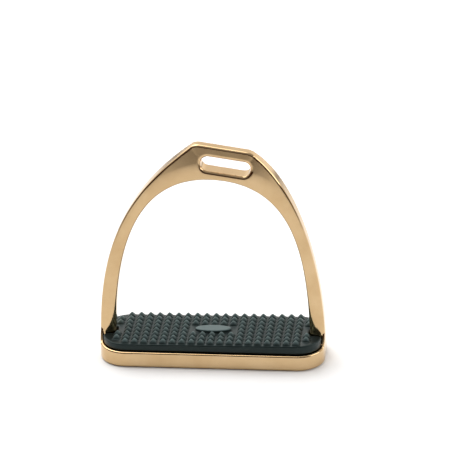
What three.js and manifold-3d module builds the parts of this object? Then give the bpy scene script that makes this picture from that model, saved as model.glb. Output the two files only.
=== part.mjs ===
// A stirrup iron for riding, with a rubber tread that presses into its base.
//
// The iron is one casting: an oval tread base, two branches that rise from it, and a crown with the
// eye, the slot that the stirrup leather runs through. The eye leans and sits to one side of the
// tread, so a left and a right iron are mirror images. The tread is one rubber moulding.
//
// Millimetres. X runs along the tread, -Y is the front, +Z is up. The origin is on the ground, under
// the middle of the base.

import * as THREE from 'three';
import { mergeGeometries, mergeVertices } from 'three/addons/utils/BufferGeometryUtils.js';
import Module from 'manifold-3d';

const wasm = await Module();
wasm.setup();

// ---- Driving dimensions: the base ----
const treadWidth = 121; // between the branches, just above the base: the size that a rider buys by
const branchWidth = 9.5; // of a branch at its foot, in the plane of the arch
const baseDepth = 46;
const baseHeight = 10;
const baseCorner = 17; // corner radius of the base, seen from above
const baseRound = 1; // rounding along the base's edges
const windowWidth = 10;
const windowCorner = 3;
const centreBar = 8; // the bar between the two windows
const windowEndLand = 22; // solid metal under each branch, beyond the windows

// ---- Driving dimensions: the arch and its crown ----
const openingHeight = 120.5; // top of the foot opening above the ground
const eyeWeb = 4.6; // metal between the foot opening and the eye
const eyeBar = 6.7; // bar above the eye, which hangs on the leather
const eyeLength = 30.5; // the slot that the leather runs through
const eyeHeight = 8.5;
const eyeTilt = THREE.MathUtils.degToRad(8.6); // slope of the eye and its bar, down towards +X
const eyeShift = 10.8; // middle of the eye, sideways from the middle of the tread
const crownLength = 35; // straight top of the crown, shoulder to shoulder
const crownShift = -3.4; // middle of that top, along the slope from the middle of the eye
const shoulderRun = 3; // length over which each shoulder is rounded
const shoulderPitch = THREE.MathUtils.degToRad(38); // slope of the branches where they leave the crown
const innerRise = 68; // how far the opening's sides run nearly upright

// Each side's curves: how far the outer one runs nearly upright and then along the shoulder's slope, and
// how far the opening's top runs nearly level.
const highSide = { rise: 66, reach: 52, openingReach: 41 };
const lowSide = { rise: 50, reach: 36, openingReach: 48 };

// ---- Driving dimensions: the section of the arch ----
const footHalf = 5; // half of a branch's thickness, front to back, at its foot
const waistHalf = 4.4; // the same, where a branch is thinnest
const crownHalf = 5.8; // the same, at the crown
const edgeRound = 1.3; // rounding along every edge of the arch
const facetDepth = 14.5; // height of the crown's sloping upper facet
const facetTilt = THREE.MathUtils.degToRad(9.5);
const heelHeight = 35; // the lowest part of a branch, where its inner side narrows to a ridge
const heelRidge = 1.8; // half width of that ridge
const heelBlend = 7.5; // how far the ridge's flanks reach across the branch, at the base
const flareHeight = 15; // the web that spreads each foot along the end of the base
const flareSpread = 8.5;

// ---- Driving dimensions: the eye's lip ----
const lipWidth = 2.4;
const lipDepth = 2.4;
const lipStep = 0.25; // shallow step where the lip meets the face

// ---- Driving dimensions: the rubber tread ----
const padLedge = 2; // metal left showing all round the tread
const padThickness = 5; // at the middle of the tread
const padSlant = THREE.MathUtils.degToRad(0.72); // slope of the tread's top, up towards +X
const padRound = 0.8;
const notchMouth = 3.2; // rounding where each notch opens through the tread's end
const studPitchX = 5.9;
const studPitchY = 5.15;
const studBaseX = 5.1;
const studBaseY = 4.6;
const studTip = 0.9;
const studHeight = 2.9;
const bossLength = 22.6; // plain oval boss, in the middle of the studs
const bossWidth = 8.6;
const bossHeight = 1.9;
const bossMargin = 0.6; // least gap between the boss and a stud's foot
const lugDepth = 8;
const lugLead = 1.2; // taper that leads each lug into its window
const lugFit = 0.3; // clearance all round a lug in its window
const notchFit = 0.4; // clearance between the tread's notches and the branches' front and back
const notchEndFit = 0.9; // the same at a notch's end, so that the tread lifts past the leaning branches
const seatGap = 0.3; // between the tread's underside and the base

// ---- Smoothness ----
const branchSteps = 26;
const crownSteps = 8;
const shoulderSteps = 3;
const arcSteps = 8;

// ---- Worked out from the sizes above ----
const halfTread = treadWidth / 2;
const halfLength = halfTread + branchWidth;
const halfDepth = baseDepth / 2;
const eyeCentre = new THREE.Vector2(eyeShift, openingHeight + eyeWeb + eyeHeight / 2);
const barTop = eyeHeight / 2 + eyeBar;
const overlap = 0.2; // how deep joined shapes run into each other
const proud = 0.05; // a branch's outer face stands this far out of the base's end
const footZ = baseHeight - baseRound / 2; // where the branches grow out of the base's rounded edge

// ---- Solids ----

function solid(geometry) {
  const bare = geometry.index ? geometry.toNonIndexed() : geometry.clone();
  bare.deleteAttribute('normal');
  bare.deleteAttribute('uv');
  const merged = mergeVertices(bare, 1e-4);
  return new wasm.Manifold(new wasm.Mesh({
    numProp: 3,
    vertProperties: merged.attributes.position.array,
    triVerts: new Uint32Array(merged.index.array),
  }));
}

function geometryOf(manifold) {
  const { vertProperties, triVerts } = manifold.getMesh();
  const geometry = new THREE.BufferGeometry();
  geometry.setAttribute('position', new THREE.BufferAttribute(vertProperties, 3));
  geometry.setIndex(new THREE.BufferAttribute(triVerts, 1));
  geometry.computeVertexNormals();
  return geometry;
}

// Skins a row of closed rings, each with the same number of points, and closes both ends. The rings run
// counterclockwise as seen from the last one.
function loft(rings) {
  const count = rings[0].length;
  const last = (rings.length - 1) * count;
  const index = [];
  for (let ring = 0; ring < last; ring += count) {
    for (let k = 0; k < count; k++) {
      const a = ring + k;
      const b = ring + (k + 1) % count;
      index.push(a, b, b + count, a, b + count, a + count);
    }
  }
  for (let k = 1; k < count - 1; k++) {
    index.push(0, k + 1, k, last, last + k, last + k + 1);
  }
  const geometry = new THREE.BufferGeometry().setFromPoints(rings.flat());
  geometry.setIndex(index);
  return geometry;
}

// A shape pulled up from height z, with its edges rounded.
function slab(shape, z, height, round) {
  const geometry = new THREE.ExtrudeGeometry(shape, {
    depth: height - 2 * round,
    bevelThickness: round,
    bevelSize: round,
    bevelOffset: -round,
    bevelSegments: 2,
    curveSegments: arcSteps,
  });
  return geometry.translate(0, 0, z + round);
}

// The points of a shape that is alike on both sides of X and of Y, from its quarter at +X, -Y.
function mirrorQuarter(quarter) {
  const right = [...quarter, ...quarter.toReversed().map((p) => new THREE.Vector2(p.x, -p.y))];
  const left = right.toReversed().map((p) => new THREE.Vector2(-p.x, p.y));
  return [...right, ...left];
}

function roundedRectangle(halfX, halfY, corner) {
  const quarter = new THREE.Path();
  quarter.absarc(halfX - corner, corner - halfY, corner, -Math.PI / 2, 0, false);
  return mirrorQuarter(quarter.getPoints(arcSteps));
}

// ---- The arch ----

// Turns a place in the eye's own frame, along and across its slope, into X and Z.
function fromEye(along, across) {
  return new THREE.Vector2(along, across).rotateAround(new THREE.Vector2(), -eyeTilt).add(eyeCentre);
}

// The outer edge of the arch, as one path from the foot at -X to the foot at +X. Each piece is a curve
// with the number of sections that it takes.
function outerEdge() {
  const barDirection = fromEye(1, 0).sub(eyeCentre);
  const pieces = [];
  for (const [side, { rise, reach }] of [[-1, highSide], [1, lowSide]]) {
    const corner = fromEye(crownShift + side * crownLength / 2, barTop);
    const fall = new THREE.Vector2(side * Math.cos(shoulderPitch), -Math.sin(shoulderPitch));
    const root = new THREE.Vector2(side * (halfLength - baseRound), baseHeight / 2);
    const foot = new THREE.Vector2(side * (halfLength + proud), footZ);
    const knee = foot.clone().add(new THREE.Vector2(0, rise));
    const hip = corner.clone().addScaledVector(fall, reach);
    const start = corner.clone().addScaledVector(fall, shoulderRun);
    const end = corner.clone().addScaledVector(barDirection, -side * shoulderRun);
    pieces.push([
      { curve: new THREE.LineCurve(root, foot), steps: 2 },
      { curve: new THREE.CubicBezierCurve(foot, knee, hip, start), steps: branchSteps },
      { curve: new THREE.QuadraticBezierCurve(start, corner, end), steps: shoulderSteps },
    ]);
  }
  return { high: pieces[0], low: pieces[1] };
}

// The edge of the foot opening, as closely spaced points.
function innerEdge() {
  const apex = new THREE.Vector2(0, openingHeight);
  const points = [];
  for (const [side, { openingReach }] of [[-1, highSide], [1, lowSide]]) {
    const root = new THREE.Vector2(side * halfTread, baseHeight / 2);
    const foot = new THREE.Vector2(side * halfTread, footZ);
    const knee = new THREE.Vector2(side * halfTread, footZ + innerRise);
    const hip = new THREE.Vector2(side * openingReach, openingHeight);
    const run = new THREE.CubicBezierCurve(foot, knee, hip, apex).getSpacedPoints(400);
    const half = [root, ...run];
    points.push(...(side < 0 ? half : half.toReversed().slice(1)));
  }
  return points;
}

// The place on a row of points that is nearest to p.
function nearestOn(points, p) {
  let best = points[0];
  for (let i = 1; i < points.length; i++) {
    const step = points[i].clone().sub(points[i - 1]);
    const share = p.clone().sub(points[i - 1]).dot(step) / step.lengthSq();
    const place = points[i - 1].clone().addScaledVector(step, THREE.MathUtils.clamp(share, 0, 1));
    if (place.distanceTo(p) < best.distanceTo(p)) best = place;
  }
  return best;
}

// Half of the arch's thickness at its crease, from 0 at the foot of a branch to 1 at its shoulder.
function halfThickness(rise) {
  const toWaist = THREE.MathUtils.smoothstep(rise, 0.05, 0.4);
  const toCrown = THREE.MathUtils.smoothstep(rise, 0.5, 0.95);
  return footHalf + (waistHalf - footHalf) * toWaist + (crownHalf - waistHalf) * toCrown;
}

// How far the sloping facet reaches in from the outer edge: nothing low down, all of it at the crown.
function facetReach(rise) {
  const growth = THREE.MathUtils.clamp((rise - 0.5) / 0.5, 0, 1) ** 3;
  return edgeRound + (facetDepth - edgeRound) * growth;
}

// Half of the crown's thickness, at a distance below its top.
function crownHalfAt(depth) {
  return crownHalf - Math.tan(facetTilt) * Math.max(0, facetDepth - depth);
}

// One section of the arch: points (distance from the inner edge, y) round a closed ring.
function archSection(width, rise, height) {
  const half = halfThickness(rise);
  const reach = facetReach(rise);
  const outerHalf = half - Math.tan(facetTilt) * (reach - edgeRound);
  const heel = THREE.MathUtils.clamp((baseHeight + heelHeight - height) / heelHeight, 0, 1) ** 2;
  const flank = edgeRound + (heelBlend - edgeRound) * heel;
  const ridge = half - edgeRound + (heelRidge - half + edgeRound) * Math.sqrt(heel);
  const crease = Math.max(width - Math.max(reach, 1.3 * edgeRound), (flank + width - edgeRound) / 2);
  const front = [];
  for (const turn of [0, 30, 60, 90].map(THREE.MathUtils.degToRad)) {
    front.push([flank * (1 - Math.cos(turn)), ridge + (half - ridge) * Math.sin(turn)]);
  }
  front.push([crease, half]);
  for (const turn of [0, 45, 90].map(THREE.MathUtils.degToRad)) {
    const inset = edgeRound * (1 - Math.sin(turn));
    front.push([width - inset, outerHalf - edgeRound * (1 - Math.cos(turn))]);
  }
  const back = front.toReversed();
  return [...front.map(([u, y]) => [u, -y]), ...back];
}

// The branches and the crown, as one loft along the arch.
function archLoft() {
  const { high, low } = outerEdge();
  const inner = innerEdge();
  const rings = [];
  const addRing = (outer, rise) => {
    const start = nearestOn(inner, outer);
    const across = outer.clone().sub(start);
    const width = across.length();
    across.normalize();
    rings.push(archSection(width, rise, outer.y).map(([u, y]) => {
      const p = start.clone().addScaledVector(across, u);
      return new THREE.Vector3(p.x, y, p.y);
    }));
  };
  const branch = (pieces) => {
    const stations = [{ point: pieces[0].curve.getPoint(0), rise: 0 }];
    pieces.forEach(({ curve, steps }, piece) => {
      curve.getSpacedPoints(steps).slice(1).forEach((point, k) => {
        const rise = [0, (k + 1) / steps, 1][piece];
        stations.push({ point, rise });
      });
    });
    return stations;
  };
  const highStations = branch(high);
  const lowStations = branch(low);
  const bar = new THREE.LineCurve(lowStations.at(-1).point, highStations.at(-1).point);
  const barStations = bar.getSpacedPoints(crownSteps).slice(1, -1).map((point) => ({ point, rise: 1 }));
  for (const { point, rise } of [...lowStations, ...barStations, ...highStations.toReversed()]) {
    addRing(point, rise);
  }
  return loft(rings);
}

// ---- The eye ----

// A stadium's outline in the eye's frame, grown outwards by an offset.
function eyeOutline(offset) {
  const radius = eyeHeight / 2 + offset;
  const straight = (eyeLength - eyeHeight) / 2;
  const path = new THREE.Path();
  path.absarc(straight, 0, radius, -Math.PI / 2, Math.PI / 2, false);
  path.absarc(-straight, 0, radius, Math.PI / 2, 3 * Math.PI / 2, false);
  return path.getPoints(arcSteps);
}

// The slot through the crown, with a rounded lip on both faces that follows the crown's facet.
function eyeCutter() {
  const lip = [
    { offset: lipWidth, below: lipStep },
    { offset: lipWidth * 0.6, below: lipDepth * 0.25 },
    { offset: lipWidth * 0.25, below: lipDepth * 0.55 },
    { offset: 0, below: lipDepth },
  ];
  const ring = (offset, yAt) => eyeOutline(offset).map((p) => {
    const place = fromEye(p.x, p.y);
    return new THREE.Vector3(place.x, yAt(barTop - p.y), place.y);
  });
  const clear = 2 * crownHalf;
  const back = [
    ring(lipWidth, () => clear),
    ...lip.map(({ offset, below }) => ring(offset, (depth) => crownHalfAt(depth) - below)),
  ];
  const front = back.toReversed().map((points) => points.map((p) => new THREE.Vector3(p.x, -p.y, p.z)));
  return loft([...back, ...front]);
}

// ---- The base ----

function windowOutline(side, shrink) {
  const centreY = side * (centreBar + windowWidth) / 2;
  const halfX = halfLength - windowEndLand - shrink;
  const halfY = windowWidth / 2 - shrink;
  const points = roundedRectangle(halfX, halfY, windowCorner - shrink);
  return points.map((p) => new THREE.Vector2(p.x, p.y + centreY));
}

function basePlate() {
  const outline = new THREE.Shape(roundedRectangle(halfLength, halfDepth, baseCorner));
  for (const side of [-1, 1]) {
    outline.holes.push(new THREE.Path(windowOutline(side, 0)));
  }
  return slab(outline, 0, baseHeight, baseRound);
}

// The web that spreads each foot along the rounded end of the base, seen from the end as a concave
// fillet on either side of the branch. It is as thick as the ledge beside the tread leaves room for.
function footFlare() {
  const profile = new THREE.Path();
  const rootZ = baseHeight - baseRound - overlap;
  const topZ = baseHeight + flareHeight;
  const spread = footHalf + flareSpread;
  profile.moveTo(0, rootZ);
  profile.lineTo(spread, rootZ);
  profile.quadraticCurveTo(footHalf, baseHeight, footHalf - 1.5 * edgeRound, topZ);
  profile.lineTo(0, topZ);
  const right = profile.getPoints(arcSteps);
  const left = right.toReversed().map((p) => new THREE.Vector2(-p.x, p.y));
  const web = new THREE.ExtrudeGeometry(new THREE.Shape([...right, ...left.slice(1, -1)]), {
    depth: 2 * halfLength + 2 * baseRound,
    bevelEnabled: false,
  });
  web.translate(0, 0, -halfLength - baseRound);
  web.rotateX(Math.PI / 2).rotateZ(Math.PI / 2);
  const wallThickness = padLedge - notchFit;
  const ringAt = (inset) => roundedRectangle(halfLength - inset, halfDepth - inset, baseCorner - inset);
  const wall = new THREE.Shape(ringAt(proud));
  wall.holes.push(new THREE.Path(ringAt(wallThickness)));
  const shell = new THREE.ExtrudeGeometry(wall, { depth: topZ, bevelEnabled: false });
  return solid(shell).intersect(solid(web));
}

function ironCasting() {
  const casting = solid(basePlate())
    .add(solid(archLoft()))
    .add(footFlare())
    .subtract(solid(eyeCutter()));
  return geometryOf(casting);
}

// ---- The rubber tread ----

const padZ = baseHeight + seatGap;
const padTop = padZ + padThickness;

// The tread seen from above: a rounded rectangle with a notch round each branch.
function padOutline() {
  const halfX = halfLength - padLedge;
  const halfY = halfDepth - padLedge;
  const corner = baseCorner - padLedge;
  const notchHalf = footHalf + notchFit;
  const notchEnd = halfTread - notchEndFit;
  const innerCorner = (halfX - notchEnd) / 2;
  const mouthY = notchHalf + notchMouth;
  const quarter = new THREE.Path();
  if (halfY - corner > mouthY) {
    quarter.absarc(halfX - corner, corner - halfY, corner, -Math.PI / 2, 0, false);
    quarter.lineTo(halfX, -mouthY);
  } else {
    const mouthAngle = Math.asin((mouthY - halfY + corner) / corner);
    quarter.absarc(halfX - corner, corner - halfY, corner, -Math.PI / 2, -mouthAngle, false);
  }
  quarter.quadraticCurveTo(halfX, -notchHalf, halfX - notchMouth, -notchHalf);
  quarter.lineTo(notchEnd + innerCorner, -notchHalf);
  quarter.quadraticCurveTo(notchEnd, -notchHalf, notchEnd, innerCorner - notchHalf);
  return mirrorQuarter(quarter.getPoints(arcSteps));
}

// Leans the tread's top, and all that stands on it, to its slope, and leaves the underside level.
function slanted(geometry) {
  const position = geometry.attributes.position;
  for (let i = 0; i < position.count; i++) {
    const share = THREE.MathUtils.clamp((position.getZ(i) - padZ) / padThickness, 0, 1);
    position.setZ(i, position.getZ(i) + position.getX(i) * Math.tan(padSlant) * share);
  }
  return geometry;
}

// Whether a place lies inside a closed row of points, by the even-odd rule.
function isInside(points, x, y) {
  let inside = false;
  points.forEach((a, i) => {
    const b = points[(i + 1) % points.length];
    const crosses = (a.y > y) !== (b.y > y);
    if (crosses && x < a.x + (b.x - a.x) * (y - a.y) / (b.y - a.y)) inside = !inside;
  });
  return inside;
}

// Whether a stud at x, y would come too close to the boss.
function nearBoss(x, y) {
  const gapX = Math.max(0, Math.abs(x) - studBaseX / 2) / (bossLength / 2 + bossMargin);
  const gapY = Math.max(0, Math.abs(y) - studBaseY / 2) / (bossWidth / 2 + bossMargin);
  return Math.hypot(gapX, gapY) < 1;
}

// One pyramid stud, with a small flat tip.
function stud(x, y) {
  const tipRadius = studTip * Math.SQRT1_2;
  const baseRadius = studBaseX * Math.SQRT1_2;
  const shape = new THREE.CylinderGeometry(tipRadius, baseRadius, studHeight + overlap, 4);
  shape.rotateY(Math.PI / 4).rotateX(Math.PI / 2);
  shape.scale(1, studBaseY / studBaseX, 1);
  return shape.translate(x, y, padTop + (studHeight - overlap) / 2);
}

// The studs: as many columns and rows as the tread has room for, with a column through its middle and
// the same number of rows on either side of it. A stud whose foot would pass the outline is left out.
function studField(outline) {
  const sideColumns = Math.floor((halfLength - padLedge - studBaseX / 2) / studPitchX);
  const sideRows = Math.floor((halfDepth - padLedge - studBaseY / 2) / studPitchY + 0.5);
  const footX = studBaseX / 2;
  const footY = studBaseY / 2;
  const corners = [[-footX, -footY], [-footX, footY], [footX, -footY], [footX, footY]];
  const studs = [];
  for (let column = -sideColumns; column <= sideColumns; column++) {
    for (let row = 0.5 - sideRows; row < sideRows; row++) {
      const x = column * studPitchX;
      const y = row * studPitchY;
      const fits = corners.every(([i, j]) => isInside(outline, x + i, y + j));
      if (fits && !nearBoss(x, y)) studs.push(stud(x, y));
    }
  }
  return mergeGeometries(studs);
}

function boss() {
  const quarter = new THREE.Path();
  quarter.absellipse(0, 0, bossLength / 2, bossWidth / 2, -Math.PI / 2, 0, false);
  const outline = new THREE.Shape(mirrorQuarter(quarter.getPoints(arcSteps)));
  return slab(outline, padTop - overlap, bossHeight + overlap, bossHeight / 3);
}

// A lug fills its window with a clearance, and tapers towards its lower end.
function lug(side) {
  const outlineAt = (shrink, z) => {
    return windowOutline(side, lugFit + shrink).map((p) => new THREE.Vector3(p.x, p.y, z));
  };
  const tip = padZ - lugDepth;
  return loft([outlineAt(lugLead, tip), outlineAt(0, tip + 2 * lugLead), outlineAt(0, padZ + overlap)]);
}

function treadPad() {
  const outline = padOutline();
  const body = slab(new THREE.Shape(outline), padZ, padThickness, padRound);
  const pad = solid(body)
    .add(solid(studField(outline)))
    .add(solid(boss()))
    .add(solid(lug(-1)))
    .add(solid(lug(1)));
  return slanted(geometryOf(pad));
}

// ---- The assembly ----

const polishedBrass = new THREE.MeshStandardMaterial({ color: 0xc4a578, roughness: 0.16, metalness: 1 });
const blackRubber = new THREE.MeshStandardMaterial({ color: 0x1c2828, roughness: 0.55, metalness: 0 });

const iron = new THREE.Mesh(ironCasting(), polishedBrass);
iron.name = 'iron_casting';

const tread = new THREE.Mesh(treadPad(), blackRubber);
tread.name = 'tread_pad';

const stirrupIron = new THREE.Group();
stirrupIron.name = 'stirrup_iron';
stirrupIron.add(iron, tread);

export default stirrupIron;
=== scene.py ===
import math

import bpy
import numpy as np
from mathutils import Matrix, Vector

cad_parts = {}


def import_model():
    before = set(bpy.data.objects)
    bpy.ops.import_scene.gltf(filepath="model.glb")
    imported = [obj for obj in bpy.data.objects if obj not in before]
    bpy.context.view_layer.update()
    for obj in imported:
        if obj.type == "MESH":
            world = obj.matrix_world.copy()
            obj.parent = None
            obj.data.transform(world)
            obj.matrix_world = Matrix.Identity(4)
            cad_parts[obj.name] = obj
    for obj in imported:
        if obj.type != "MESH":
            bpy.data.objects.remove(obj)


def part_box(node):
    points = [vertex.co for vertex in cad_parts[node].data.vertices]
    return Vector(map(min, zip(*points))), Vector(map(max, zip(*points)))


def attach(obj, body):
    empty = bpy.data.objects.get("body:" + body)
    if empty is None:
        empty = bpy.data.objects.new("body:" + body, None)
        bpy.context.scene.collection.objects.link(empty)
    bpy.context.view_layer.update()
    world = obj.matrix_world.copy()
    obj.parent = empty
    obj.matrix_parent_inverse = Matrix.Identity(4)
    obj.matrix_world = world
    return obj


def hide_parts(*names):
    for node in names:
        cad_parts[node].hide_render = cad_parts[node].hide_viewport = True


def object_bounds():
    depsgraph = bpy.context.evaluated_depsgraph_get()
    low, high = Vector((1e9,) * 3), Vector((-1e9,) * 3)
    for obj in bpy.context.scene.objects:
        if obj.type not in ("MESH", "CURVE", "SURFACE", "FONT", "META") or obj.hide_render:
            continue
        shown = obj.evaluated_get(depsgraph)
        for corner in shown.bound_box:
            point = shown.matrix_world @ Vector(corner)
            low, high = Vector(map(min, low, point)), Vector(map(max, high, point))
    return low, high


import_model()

# The looks of a stirrup iron. The polished casting and the moulded rubber tread are both built here
# as fine surfaces. Each is described by a signed distance in millimetres (negative inside), turned
# into a mesh by a surface net, and drawn onto the exact surface. Lengths are millimetres and angles
# are radians until the mesh is made.

cad_low, cad_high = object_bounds()
iron_low, iron_high = (v * 1000 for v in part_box("iron_casting"))
pad_low, pad_high = (v * 1000 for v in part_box("tread_pad"))

# ---- Sizes taken from the frame ----
PROUD = 0.05  # the feet of the branches stand this far past the base's ends
HALF_LENGTH = iron_high.x - PROUD
HALF_DEPTH = iron_high.y
PAD_HALF_X = pad_high.x
PAD_HALF_Y = pad_high.y
PAD_LOW = pad_low.z
PAD_HIGH = pad_high.z

# ---- The base ----
BASE_HEIGHT = 10
BASE_CORNER = 17
BASE_ROUND = 1.1
WINDOW_WIDTH = 10
WINDOW_CORNER = 3
WINDOW_ROUND = 0.8
CENTRE_BAR = 8
WINDOW_END_LAND = 22
JOIN_FILLET = 0.6  # where the arch meets the base

# ---- The arch: its eye, its crown and its branches ----
HALF_TREAD = 60.5
OPENING_HEIGHT = 120.5
EYE_WEB = 4.6
EYE_BAR = 6.7
EYE_LENGTH = 30.5
EYE_HEIGHT = 8.5
EYE_TILT = math.radians(8.6)
EYE_SHIFT = 10.8
EYE_ROUND = 0.4
CROWN_LENGTH = 35
CROWN_SHIFT = -3.4
SHOULDER_RUN = 3
SHOULDER_PITCH = math.radians(38)
FOOT_Z = BASE_HEIGHT - 0.5
ROOT_Z = -20
INNER_RISE = 68
HIGH_SIDE = {"rise": 66, "reach": 52, "opening_reach": 41}
LOW_SIDE = {"rise": 50, "reach": 36, "opening_reach": 48}
FOOT_HALF = 5
WAIST_HALF = 4.4
CROWN_HALF = 5.8
WAIST_RISE = (0.05, 0.4)  # shares of a branch's length over which it thins and thickens
CROWN_RISE = (0.5, 0.95)
EDGE_ROUND = 1.3
FACET_START = 0.5
FACET_DEPTH = 14.5
FACET_SLOPE = math.tan(math.radians(9.5))
CREASE_ROUND = 0.5
HEEL_HEIGHT = 35
HEEL_RIDGE = 1.8
HEEL_BLEND = 7.5
FLARE_HEIGHT = 15
FLARE_SPREAD = 8.5
FLARE_SINK = 1.2
FLARE_ROUND = 0.5
WALL_THICKNESS = 1.6
LIP_WIDTH = 2.4
LIP_DEPTH = 2.4

# ---- The tread ----
PAD_THICKNESS = 5
PAD_CORNER = 15
PAD_ROUND = 0.9
PAD_SLOPE = math.tan(math.radians(0.72))
NOTCH_LOSS = 0.27  # the notches take this much off each end of the outline
NOTCH_HALF = 5.4
NOTCH_END = 59.6
NOTCH_CORNER = 3.6
NOTCH_MOUTH = 3.2
STUD_PITCH = (5.9, 5.15)
STUD_BASE = (5.1, 4.6)
STUD_TIP = 0.9
STUD_COUNT = (23, 8)
STUD_HEIGHT = 2.9
STUD_EDGE_ROUND = 0.6
STUD_TIP_ROUND = 0.25
STUD_FILLET = 0.3
BOSS_SIZE = (22.6, 8.6)
BOSS_HEIGHT = 1.9
BOSS_MARGIN = 0.6
BOSS_ROUND = 0.7
BOSS_FILLET = 0.4
SUNK = 0.6  # studs and boss reach this far into the slab
LUG_LENGTH = 8
LUG_ROOT = 1  # the lugs start this far below the slab's top
LUG_FIT = 0.3
LUG_LEAD = 1.2
LUG_ROUND = 0.5
LUG_FILLET = 0.3

# ---- The meshes' cells ----
NET_MARGIN = 0.3  # room for the cells past the tread's ends
IRON_STEP = 0.57
PAD_STEP = 0.47


# ---- Signed distances ----

def round_max(a, b, r):
    """The overlap of two solids, its edge rounded to radius r."""
    u = np.maximum(a + r, 0)
    v = np.maximum(b + r, 0)
    return np.minimum(-r, np.maximum(a, b)) + np.hypot(u, v)


def round_min(a, b, r):
    """Two solids joined, with a fillet of radius r."""
    return -round_max(-a, -b, r)


def rectangle(x, y, half_x, half_y, corner):
    """A rectangle with rounded corners."""
    qx = np.abs(x) - (half_x - corner)
    qy = np.abs(y) - (half_y - corner)
    outside = np.hypot(np.maximum(qx, 0), np.maximum(qy, 0))
    return outside + np.minimum(np.maximum(qx, qy), 0) - corner


def smooth_step(value, low, high):
    """0 up to low, 1 from high, and a smooth rise between them."""
    t = np.clip((value - low) / (high - low), 0, 1)
    return t * t * (3 - 2 * t)


class Edge:
    """A plane curve of cubic pieces, left to right, that can say how far any place is from it."""

    SAMPLES = 48

    def __init__(self, pieces):
        self.pieces = np.array(pieces, float)
        t = np.linspace(0, 1, self.SAMPLES)
        self.t = np.tile(t, len(pieces))
        self.piece = np.repeat(np.arange(len(pieces)), self.SAMPLES)
        self.points = self.at(self.piece, self.t)[0]
        length = np.hypot(*np.diff(self.points, axis=0).T)
        self.lengths = np.concatenate([[0], np.cumsum(length)])

    def at(self, piece, t):
        """Places on the curve, with their first and second derivatives."""
        p0, p1, p2, p3 = (self.pieces[piece, k] for k in range(4))
        t = t[:, None]
        s = 1 - t
        place = s**3 * p0 + 3 * s * s * t * p1 + 3 * s * t * t * p2 + t**3 * p3
        slope = 3 * (s * s * (p1 - p0) + 2 * s * t * (p2 - p1) + t * t * (p3 - p2))
        bend = 6 * (s * (p2 - 2 * p1 + p0) + t * (p3 - 2 * p2 + p1))
        return place, slope, bend

    def nearest(self, x, z):
        """Signed distance (positive on the right of the curve's run) and length along the curve."""
        shape = np.broadcast(x, z).shape
        flat = np.stack([np.broadcast_to(v, shape).ravel() for v in (x, z)], 1).astype(float)
        distance = np.empty(len(flat))
        along = np.empty(len(flat))
        for start in range(0, len(flat), 20000):
            part = slice(start, start + 20000)
            distance[part], along[part] = self._nearest(flat[part])
        return distance.reshape(shape), along.reshape(shape)

    def _refined(self, p, piece, t):
        """Newton's steps to the nearest place on one piece: where it is, and how far away."""
        for _ in range(4):
            place, slope, bend = self.at(piece, t)
            away = place - p
            curve = (slope * slope).sum(1) + (away * bend).sum(1)
            t = np.clip(t - (away * slope).sum(1) / np.where(curve > 1e-6, curve, 1e9), 0, 1)
        return t, np.hypot(*(self.at(piece, t)[0] - p).T)

    def _nearest(self, p):
        """The nearest sample refined on its piece, or on the next piece if that comes closer."""
        gap = (p[:, :1] - self.points[None, :, 0]) ** 2
        gap = gap + (p[:, 1:] - self.points[None, :, 1]) ** 2
        best = gap.argmin(axis=1)
        piece = self.piece[best]
        t, distance = self._refined(p, piece, self.t[best])
        for end, step in ((0, -1), (1, 1)):
            stuck = np.flatnonzero(t == end)
            other = np.clip(piece[stuck] + step, 0, len(self.pieces) - 1)
            other_t, other_distance = self._refined(p[stuck], other, np.full(len(stuck), 1.0 - end))
            closer = other_distance < distance[stuck]
            t[stuck] = np.where(closer, other_t, t[stuck])
            piece[stuck] = np.where(closer, other, piece[stuck])
            distance[stuck] = np.minimum(other_distance, distance[stuck])
        place, slope, _ = self.at(piece, t)
        away = p - place
        side = np.sign(slope[:, 1] * away[:, 0] - slope[:, 0] * away[:, 1])
        spot = t * (self.SAMPLES - 1)
        low = np.minimum(spot.astype(int), self.SAMPLES - 2)
        share = spot - low
        first = piece * self.SAMPLES + low
        along = self.lengths[first] * (1 - share) + self.lengths[first + 1] * share
        return side * distance, along


def line(a, b):
    """A straight line as a cubic piece."""
    return [a, a + (b - a) / 3, b - (b - a) / 3, b]


EYE_CENTRE = np.array([EYE_SHIFT, OPENING_HEIGHT + EYE_WEB + EYE_HEIGHT / 2])
BAR = np.array([math.cos(EYE_TILT), -math.sin(EYE_TILT)])
BAR_UP = np.array([math.sin(EYE_TILT), math.cos(EYE_TILT)])
BAR_TOP = EYE_HEIGHT / 2 + EYE_BAR


def outer_side(side, rise, reach):
    """The outer curve on one side, from below the ground to the straight top of the crown."""
    corner = EYE_CENTRE + BAR * (CROWN_SHIFT + side * CROWN_LENGTH / 2) + BAR_UP * BAR_TOP
    fall = np.array([side * math.cos(SHOULDER_PITCH), -math.sin(SHOULDER_PITCH)])
    root = np.array([side * (HALF_LENGTH + PROUD), ROOT_Z])
    foot = np.array([side * (HALF_LENGTH + PROUD), FOOT_Z])
    start = corner + fall * SHOULDER_RUN
    end = corner - side * BAR * SHOULDER_RUN
    shoulder = [start, start + (corner - start) * 2 / 3, end + (corner - end) * 2 / 3, end]
    branch = [foot, foot + np.array([0, rise]), corner + fall * reach, start]
    return [line(root, foot), branch, shoulder]


def inner_side(side, opening_reach):
    """The foot opening's curve on one side, from below the ground to the middle of its top."""
    root = np.array([side * HALF_TREAD, ROOT_Z])
    foot = np.array([side * HALF_TREAD, FOOT_Z])
    apex = np.array([0, OPENING_HEIGHT])
    hip = np.array([side * opening_reach, OPENING_HEIGHT])
    return [line(root, foot), [foot, foot + np.array([0, INNER_RISE]), hip, apex]]


def backwards(pieces):
    return [piece[::-1] for piece in pieces[::-1]]


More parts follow.
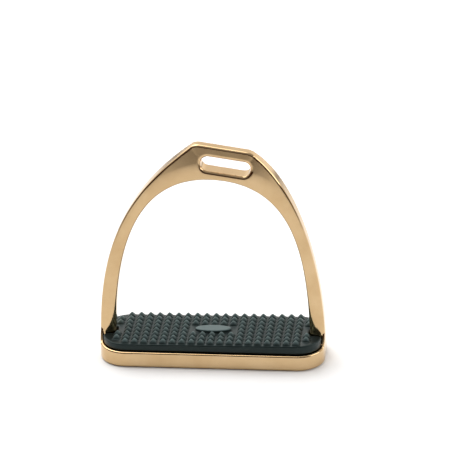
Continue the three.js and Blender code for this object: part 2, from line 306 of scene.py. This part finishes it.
high = outer_side(-1, HIGH_SIDE["rise"], HIGH_SIDE["reach"])
low = outer_side(1, LOW_SIDE["rise"], LOW_SIDE["reach"])
outer_edge = Edge(high + [line(high[-1][-1], low[-1][-1])] + backwards(low))
inner_high = inner_side(-1, HIGH_SIDE["opening_reach"])
inner_low = inner_side(1, LOW_SIDE["opening_reach"])
inner_edge = Edge(inner_high + backwards(inner_low))


def branch_rise(along):
    """0 at the feet of the arch to 1 at its shoulders, from the length along the outer edge."""
    ends = outer_edge.lengths[[Edge.SAMPLES * k - 1 for k in (1, 2, 5, 6)]]
    from_left = (along - ends[0]) / (ends[1] - ends[0])
    from_right = (ends[3] - along) / (ends[3] - ends[2])
    return np.clip(np.minimum(from_left, from_right), 0, 1)


def half_thickness(rise):
    """Half of the arch's thickness, front to back."""
    to_waist = (WAIST_HALF - FOOT_HALF) * smooth_step(rise, *WAIST_RISE)
    to_crown = (CROWN_HALF - WAIST_HALF) * smooth_step(rise, *CROWN_RISE)
    return FOOT_HALF + to_waist + to_crown


def eye_distance(x, z):
    """Distance outside the stadium of the eye."""
    dx = x - EYE_CENTRE[0]
    dz = z - EYE_CENTRE[1]
    along = np.abs(dx * BAR[0] + dz * BAR[1]) - (EYE_LENGTH - EYE_HEIGHT) / 2
    across = dx * BAR_UP[0] + dz * BAR_UP[1]
    return np.hypot(np.maximum(along, 0), across) - EYE_HEIGHT / 2


def arch(x, y, z):
    """The two branches and the crown, with its facet, its slot and the slot's rolled lip."""
    from_outer, along = outer_edge.nearest(x, z)
    from_inner = -inner_edge.nearest(x, z)[0]
    rise = branch_rise(along)
    half = half_thickness(rise)
    widening = np.clip((rise - FACET_START) / (1 - FACET_START), 0, 1) ** 3
    reach = EDGE_ROUND + (FACET_DEPTH - EDGE_ROUND) * widening
    heel = np.clip((BASE_HEIGHT + HEEL_HEIGHT - z) / HEEL_HEIGHT, 0, 1) ** 2
    flank = EDGE_ROUND + (HEEL_BLEND - EDGE_ROUND) * heel
    ridge = half - EDGE_ROUND + (HEEL_RIDGE - half + EDGE_ROUND) * np.sqrt(heel)
    ay = np.abs(y)
    over = np.maximum((flank - from_inner) / flank, 0)
    beside = np.maximum((ay - ridge) / (half - ridge), 0)
    body = (np.hypot(over, beside) - 1) * (half - ridge)
    facet = (ay - half + FACET_SLOPE * (reach - from_outer)) / math.hypot(1, FACET_SLOPE)
    body = round_max(body, facet, CREASE_ROUND)
    eye = eye_distance(x, z)
    lip = np.clip(1 - eye / LIP_WIDTH, 0, 1)
    lip_drop = LIP_DEPTH * (1 - np.sqrt(1 - lip**2))
    body = body + lip_drop
    body = round_max(body, -from_outer, EDGE_ROUND)
    body = round_max(body, -eye, EYE_ROUND)
    return np.maximum(body, BASE_HEIGHT / 2 - z)


def window(x, y, shrink):
    """The base's two windows, drawn in all round by shrink."""
    off_centre = np.abs(y) - (CENTRE_BAR + WINDOW_WIDTH) / 2
    half_x = HALF_LENGTH - WINDOW_END_LAND - shrink
    return rectangle(x, off_centre, half_x, WINDOW_WIDTH / 2 - shrink, WINDOW_CORNER - shrink)


def flare_curve():
    """The edge of the wall that flares from each branch down into the base's rim."""
    t = np.linspace(0, 1, 200)
    points = [
        (FOOT_HALF + FLARE_SPREAD, BASE_HEIGHT - FLARE_SINK),
        (FOOT_HALF, BASE_HEIGHT),
        (FOOT_HALF - 1.5 * EDGE_ROUND, BASE_HEIGHT + FLARE_HEIGHT),
    ]
    spread, height = (
        (1 - t) ** 2 * a + 2 * t * (1 - t) * b + t * t * c for a, b, c in zip(*points)
    )
    return height, spread


FLARE_Z, FLARE_Y = flare_curve()


def branch_lean(x, z):
    """How far the nearer branch's outer edge has come in from the base's end, at a height."""
    count = 2 * Edge.SAMPLES
    left, right = (
        HALF_LENGTH + PROUD - np.interp(z, points[:, 1], np.abs(points[:, 0]))
        for points in (outer_edge.points[:count], outer_edge.points[-count:][::-1])
    )
    return np.where(x < 0, left, right)


def iron(x, y, z):
    """The whole casting: the base with its windows, the arch, and the flares at its feet."""
    plan = rectangle(x, y, HALF_LENGTH, HALF_DEPTH, BASE_CORNER)
    base = round_max(plan, np.abs(z - BASE_HEIGHT / 2) - BASE_HEIGHT / 2, BASE_ROUND)
    base = round_max(base, -window(x, y, 0), WINDOW_ROUND)
    end = rectangle(np.abs(x) + branch_lean(x, z), y, HALF_LENGTH, HALF_DEPTH, BASE_CORNER)
    wall = np.maximum(end + PROUD, -end - WALL_THICKNESS)
    flare = round_max(wall, np.abs(y) - np.interp(z, FLARE_Z, FLARE_Y), FLARE_ROUND)
    flare = np.maximum(flare, np.maximum(z - BASE_HEIGHT - FLARE_HEIGHT, BASE_HEIGHT / 2 - z))
    joined = np.maximum(round_min(base, arch(x, y, z), JOIN_FILLET), plan - PROUD)
    return np.minimum(joined, flare)


# ---- The rubber tread ----

PAD_TOP = PAD_LOW + LUG_LENGTH + PAD_THICKNESS


def pad_plan(x, y):
    """The slab's outline: a rectangle with a notch round the foot of each branch."""
    slab = rectangle(x, y, PAD_HALF_X + NOTCH_LOSS, PAD_HALF_Y, PAD_CORNER)
    past_end = 30
    notch = rectangle(np.abs(x) - NOTCH_END - past_end, y, past_end, NOTCH_HALF, NOTCH_CORNER)
    return round_max(slab, -notch, NOTCH_MOUTH)


def stud_cells(x, y):
    """Where each place is from the middle of its cell of the stud grid, and if that has a stud."""
    middle_x, middle_y = ((n - 1) / 2 for n in STUD_COUNT)
    column = np.clip(np.round(x / STUD_PITCH[0] + middle_x), 0, STUD_COUNT[0] - 1)
    row = np.clip(np.round(y / STUD_PITCH[1] + middle_y), 0, STUD_COUNT[1] - 1)
    at_x = (column - middle_x) * STUD_PITCH[0]
    at_y = (row - middle_y) * STUD_PITCH[1]
    fits = np.ones(np.broadcast(at_x, at_y).shape, bool)
    for i in (-1, 1):
        for j in (-1, 1):
            fits &= pad_plan(at_x + i * STUD_BASE[0] / 2, at_y + j * STUD_BASE[1] / 2) < 0.02
    gap_x = np.maximum(np.abs(at_x) - STUD_BASE[0] / 2, 0) / (BOSS_SIZE[0] / 2 + BOSS_MARGIN)
    gap_y = np.maximum(np.abs(at_y) - STUD_BASE[1] / 2, 0) / (BOSS_SIZE[1] / 2 + BOSS_MARGIN)
    return x - at_x, y - at_y, fits & (np.hypot(gap_x, gap_y) > 1)


def tread(x, y, z):
    """The whole tread: the slab with its sloping top, the studs, the boss and the lugs below."""
    plan = pad_plan(x, y)
    z = z - PAD_SLOPE * x * np.clip((z - PAD_TOP + PAD_THICKNESS) / PAD_THICKNESS, 0, 1)
    middle = PAD_TOP - PAD_THICKNESS / 2
    body = round_max(plan, np.abs(z - middle) - PAD_THICKNESS / 2, PAD_ROUND)
    dx, dy, present = stud_cells(x, y)
    up = z - PAD_TOP
    flanks = []
    for offset, base in ((dx, STUD_BASE[0]), (dy, STUD_BASE[1])):
        slope = (base - STUD_TIP) / 2 / STUD_HEIGHT
        flanks.append((np.abs(offset) - base / 2 + slope * up) / math.hypot(1, slope))
    stud = round_max(round_max(*flanks, STUD_EDGE_ROUND), up - STUD_HEIGHT, STUD_TIP_ROUND)
    stud = np.maximum(stud, -up - SUNK)
    far_away = 10
    body = round_min(body, np.where(present, stud, far_away), STUD_FILLET)
    ellipse = (np.hypot(x / (BOSS_SIZE[0] / 2), y / (BOSS_SIZE[1] / 2)) - 1) * BOSS_SIZE[1] / 2
    boss = np.maximum(round_max(ellipse, up - BOSS_HEIGHT, BOSS_ROUND), -up - SUNK)
    body = round_min(body, boss, BOSS_FILLET)
    taper = np.clip(1 - (z - PAD_LOW) / (2 * LUG_LEAD), 0, 1) * LUG_LEAD
    ends = np.maximum(PAD_LOW - z, z - PAD_TOP + LUG_ROOT)
    lug = round_max(window(x, y, LUG_FIT) + taper, ends, LUG_ROUND)
    return round_min(body, lug, LUG_FILLET)


# ---- Meshes ----

def surface_net(distance, low, high, step):
    """Vertices and quads of the surface where distance is zero, inside a box."""
    axes = [np.arange(a - 2 * step, b + 2.5 * step, step) for a, b in zip(low, high)]
    x, y, z = axes
    field = np.empty([len(a) for a in axes], np.float32)
    for start in range(0, len(y), 16):
        part = y[None, start:start + 16, None]
        field[:, start:start + 16] = distance(x[:, None, None], part, z[None, None, :])
    inside = field < 0
    corners = [(i, j, k) for i in (0, 1) for j in (0, 1) for k in (0, 1)]
    size = [n - 1 for n in field.shape]

    def shifted(values, corner):
        return values[tuple(slice(c, c + n) for c, n in zip(corner, size))]

    count = sum(shifted(inside, c).astype(np.int8) for c in corners)
    cells = np.argwhere((count > 0) & (count < 8))
    total = np.zeros((len(cells), 3))
    hits = np.zeros(len(cells))
    for a in corners:
        for axis in range(3):
            if a[axis]:
                continue
            b = tuple(c + (k == axis) for k, c in enumerate(a))
            fa = field[tuple((cells + a).T)]
            fb = field[tuple((cells + b).T)]
            cut = (fa < 0) != (fb < 0)
            share = np.where(cut, fa / np.where(cut, fa - fb, 1), 0)
            place = np.array(a, float) + share[:, None] * (np.array(b) - np.array(a))
            total += np.where(cut[:, None], place, 0)
            hits += cut
    verts = (cells + total / hits[:, None]) * step + [a[0] for a in axes]
    number = np.full(size, -1)
    number[tuple(cells.T)] = np.arange(len(cells))
    quads = []
    for axis in range(3):
        u, v = (axis + 1) % 3, (axis + 2) % 3
        ahead = np.roll(inside, -1, axis)
        change = inside != ahead
        change[tuple(slice(-1, None) if k == axis else slice(None) for k in range(3))] = False
        spots = np.argwhere(change)
        spots = spots[(spots[:, u] > 0) & (spots[:, v] > 0)]
        flip = inside[tuple(spots.T)]
        ring = []
        for du, dv in ((0, 0), (-1, 0), (-1, -1), (0, -1)):
            cell = spots.copy()
            cell[:, u] += du
            cell[:, v] += dv
            ring.append(number[tuple(cell.T)])
        ring = np.stack(ring, 1)
        quads.append(np.where(flip[:, None], ring, ring[:, ::-1]))
    return verts, np.concatenate(quads)


def slope_of(distance, verts, h=0.02):
    """The field's gradient at the vertices."""
    x, y, z = verts.T
    parts = [
        distance(x + h * (k == 0), y + h * (k == 1), z + h * (k == 2))
        - distance(x - h * (k == 0), y - h * (k == 1), z - h * (k == 2))
        for k in range(3)
    ]
    return np.stack(parts, 1) / (2 * h)


def fine_mesh(name, distance, low, high, step):
    """The net's vertices drawn onto the exact surface, with the exact surface's normals."""
    verts, quads = surface_net(distance, low, high, step)
    for _ in range(3):
        here = distance(*verts.T)
        slope = slope_of(distance, verts)
        move = -here[:, None] * slope / np.maximum((slope * slope).sum(1), 0.05)[:, None]
        length = np.linalg.norm(move, axis=1)
        verts += move * np.minimum(1, step / 2 / np.maximum(length, 1e-9))[:, None]
    slope = slope_of(distance, verts)
    normals = slope / np.linalg.norm(slope, axis=1)[:, None]
    mesh = bpy.data.meshes.new(name)
    mesh.from_pydata(verts / 1000, [], quads.tolist())
    mesh.shade_smooth()
    mesh.normals_split_custom_set_from_vertices(normals)
    mesh.update()
    piece = bpy.data.objects.new(name, mesh)
    bpy.context.scene.collection.objects.link(piece)
    return piece


# ---- Materials ----

METAL_DEEP = (0.58, 0.40, 0.21)
METAL_PALE = (0.65, 0.465, 0.26)
RUBBER_DEEP = (0.005, 0.010, 0.010)
RUBBER_PALE = (0.009, 0.016, 0.016)
# Grey-green painted on the tops of the studs and the boss as a highlight, over painted shade lower
# down
RUBBER_PAINTED_HIGHLIGHT = (0.12, 0.17, 0.17)
RUBBER_SHEEN = (0.8, 1, 0.98, 1)
PAINTED_HIGHLIGHT_START = 0.6  # millimetres above the slab
FLOOR_TINTS = (0.86, 0.86, 0.86), (0.88, 0.88, 0.88)


def node_material(name):
    material = bpy.data.materials.new(name)
    material.use_nodes = True
    nodes = material.node_tree.nodes
    nodes.clear()
    shader = nodes.new("ShaderNodeBsdfPrincipled")
    output = nodes.new("ShaderNodeOutputMaterial")
    material.node_tree.links.new(shader.outputs[0], output.inputs[0])
    return material, material.node_tree, shader


def noise(tree, vector, scale, detail, rough=0.5):
    node = tree.nodes.new("ShaderNodeTexNoise")
    node.inputs["Scale"].default_value = scale
    node.inputs["Detail"].default_value = detail
    node.inputs["Roughness"].default_value = rough
    tree.links.new(vector, node.inputs["Vector"])
    return node.outputs["Fac"]


def object_place(tree, stretch=(1, 1, 1)):
    """The place on the object, in metres, stretched along its axes."""
    coordinates = tree.nodes.new("ShaderNodeTexCoord")
    mapping = tree.nodes.new("ShaderNodeMapping")
    mapping.inputs["Scale"].default_value = stretch
    tree.links.new(coordinates.outputs["Object"], mapping.inputs["Vector"])
    return mapping.outputs["Vector"]


def between(tree, value, low, high, to_low=0, to_high=1):
    """A value's range from low to high, mapped to another range and clamped to it."""
    node = tree.nodes.new("ShaderNodeMapRange")
    sockets = ("From Min", "From Max", "To Min", "To Max")
    for socket, number in zip(sockets, (low, high, to_low, to_high)):
        node.inputs[socket].default_value = number
    tree.links.new(value, node.inputs["Value"])
    return node.outputs["Result"]


def blend_colours(tree, factor, first, second):
    node = tree.nodes.new("ShaderNodeMix")
    node.data_type = "RGBA"
    colour_a, colour_b = node.inputs[6:8]  # these two share their names with number sockets
    for socket, colour in ((colour_a, first), (colour_b, second)):
        if isinstance(colour, tuple):
            socket.default_value = (*colour, 1)
        else:
            tree.links.new(colour, socket)
    tree.links.new(factor, node.inputs[0])
    return node.outputs[2]


def bump(tree, height, distance, strength=1.0, after=None):
    node = tree.nodes.new("ShaderNodeBump")
    node.inputs["Strength"].default_value = strength
    node.inputs["Distance"].default_value = distance
    tree.links.new(height, node.inputs["Height"])
    if after is not None:
        tree.links.new(after, node.inputs["Normal"])
    return node.outputs["Normal"]


def polished_metal():
    """Warm polished casting metal: slow waves of polishing, hairline scratches, a thin haze."""
    material, tree, shader = node_material("polished_metal")
    place = object_place(tree)
    haze = noise(tree, place, 45, 4, 0.6)
    colour = blend_colours(tree, between(tree, haze, 0.35, 0.65), METAL_DEEP, METAL_PALE)
    tree.links.new(colour, shader.inputs["Base Color"])
    shader.inputs["Metallic"].default_value = 1
    scratches = noise(tree, object_place(tree, (6, 40, 1)), 900, 2, 0.7)
    rough = between(tree, scratches, 0.35, 0.75, 0.07, 0.16)
    tree.links.new(rough, shader.inputs["Roughness"])
    waves = bump(tree, noise(tree, place, 60, 1, 0.4), 0.00006)
    tree.links.new(bump(tree, scratches, 0.000004, 1, waves), shader.inputs["Normal"])
    return material


def tread_rubber():
    """Moulded black rubber: fine grain, a painted highlight greying the studs and boss towards
    their tops over painted shade in the valleys, a dull sheen.
    """
    material, tree, shader = node_material("tread_rubber")
    place = object_place(tree)
    cloud = noise(tree, place, 120, 4, 0.6)
    colour = blend_colours(tree, between(tree, cloud, 0.3, 0.7), RUBBER_DEEP, RUBBER_PALE)
    # The colour turns from the dark rubber to the grey-green with height above the slab: a painted
    # highlight on the studs' tips and the boss, painted shade in the valleys between them
    height = tree.nodes.new("ShaderNodeVectorMath")
    height.operation = "DOT_PRODUCT"
    height.inputs[1].default_value = (-PAD_SLOPE, 0, 1)
    tree.links.new(place, height.inputs[0])
    painted_highlight_low, painted_highlight_high = ((PAD_TOP + up) / 1000 for up in (PAINTED_HIGHLIGHT_START, STUD_HEIGHT))
    painted_highlight = between(tree, height.outputs["Value"], painted_highlight_low, painted_highlight_high)
    colour = blend_colours(tree, painted_highlight, colour, RUBBER_PAINTED_HIGHLIGHT)
    tree.links.new(colour, shader.inputs["Base Color"])
    rough = between(tree, cloud, 0.3, 0.7, 0.3, 0.4)
    tree.links.new(rough, shader.inputs["Roughness"])
    grain = noise(tree, place, 2500, 3, 0.6)
    tree.links.new(bump(tree, grain, 0.00003, 0.6), shader.inputs["Normal"])
    shader.inputs["Specular IOR Level"].default_value = 0.3
    shader.inputs["Specular Tint"].default_value = RUBBER_SHEEN
    return material


def pale_floor():
    material, tree, shader = node_material("pale_floor")
    place = object_place(tree)
    tint = blend_colours(tree, noise(tree, place, 8, 3), *FLOOR_TINTS)
    tree.links.new(tint, shader.inputs["Base Color"])
    shader.inputs["Roughness"].default_value = 0.6
    return material


# ---- The pieces ----

pad_box_low = (-PAD_HALF_X - NET_MARGIN, -PAD_HALF_Y, PAD_LOW)
pad_box_high = (PAD_HALF_X + NET_MARGIN, PAD_HALF_Y, PAD_HIGH)

casting = fine_mesh("casting", iron, iron_low, iron_high, IRON_STEP)
casting.data.materials.append(polished_metal())
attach(casting, "iron")
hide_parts("iron_casting")

rubber_tread = fine_mesh("rubber_tread", tread, pad_box_low, pad_box_high, PAD_STEP)
rubber_tread.data.materials.append(tread_rubber())
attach(rubber_tread, "tread")
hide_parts("tread_pad")


# ---- The set, in metres ----

CAMERA_ANGLES = (6.754, 25.515, -1.594)  # azimuth, elevation and roll, in degrees
CAMERA_TARGET = Vector((0.0091, 0, 0.0880))
CAMERA_DISTANCE = 2.5
CAMERA_LENS = 326
FLOOR_HALF = 4
FLOOR_GAP = 0.0002
ROOM_FRONT = (0.05, 0.022, 0.012)
ROOM_BACK = (1.25, 1.2, 1.15)
ROOM_CEILING = (0.45, 0.45, 0.45)


def area_light(name, place, target, size, power, spread=180):
    data = bpy.data.lights.new(name, "AREA")
    data.shape = "RECTANGLE"
    data.size, data.size_y = size
    data.energy = power
    data.spread = math.radians(spread)
    light = bpy.data.objects.new(name, data)
    light.location = place
    light.rotation_mode = "QUATERNION"
    light.rotation_quaternion = (Vector(place) - Vector(target)).to_track_quat("Z", "Y")
    light.visible_camera = False
    bpy.context.scene.collection.objects.link(light)


def floor():
    half = FLOOR_HALF
    z = cad_low.z - FLOOR_GAP
    corners = [(-half, -half, z), (half, -half, z), (half, half, z), (-half, half, z)]
    mesh = bpy.data.meshes.new("floor")
    mesh.from_pydata(corners, [], [(0, 1, 2, 3)])
    mesh.materials.append(pale_floor())
    ground = bpy.data.objects.new("floor", mesh)
    bpy.context.scene.collection.objects.link(ground)


def camera():
    azimuth, elevation, roll = (math.radians(a) for a in CAMERA_ANGLES)
    back = Vector((
        math.sin(azimuth) * math.cos(elevation),
        -math.cos(azimuth) * math.cos(elevation),
        math.sin(elevation),
    ))
    data = bpy.data.cameras.new("camera")
    data.sensor_width = 36
    data.lens = CAMERA_LENS
    data.clip_end = 50
    eye = bpy.data.objects.new("camera", data)
    eye.location = CAMERA_TARGET + back * CAMERA_DISTANCE
    turn = back.to_track_quat("Z", "Y").to_matrix() @ Matrix.Rotation(roll, 3, "Z")
    eye.rotation_euler = turn.to_euler()
    bpy.context.scene.collection.objects.link(eye)
    bpy.context.scene.camera = eye


def world():
    """A soft room: dim and brown at the front, pale at the back and overhead."""
    surroundings = bpy.data.worlds.new("studio")
    surroundings.use_nodes = True
    tree = surroundings.node_tree
    coordinates = tree.nodes.new("ShaderNodeTexCoord")
    split = tree.nodes.new("ShaderNodeSeparateXYZ")
    tree.links.new(coordinates.outputs["Generated"], split.inputs[0])
    height = between(tree, split.outputs["Z"], 0.3, 0.9)
    depth = between(tree, split.outputs["Y"], -0.2, 0.75)
    horizon = blend_colours(tree, depth, ROOM_FRONT, ROOM_BACK)
    colour = blend_colours(tree, height, horizon, ROOM_CEILING)
    tree.links.new(colour, tree.nodes["Background"].inputs["Color"])
    bpy.context.scene.world = surroundings


floor()
camera()
world()
area_light("overhead", (-0.35, 0.5, 0.9), (0, 0.25, 0), (1.4, 1.4), 7, 95)
area_light("side", (0.9, -0.05, 0.62), (0, 0, 0.03), (0.8, 0.6), 4)
bpy.context.scene.view_settings.view_transform = "Standard"
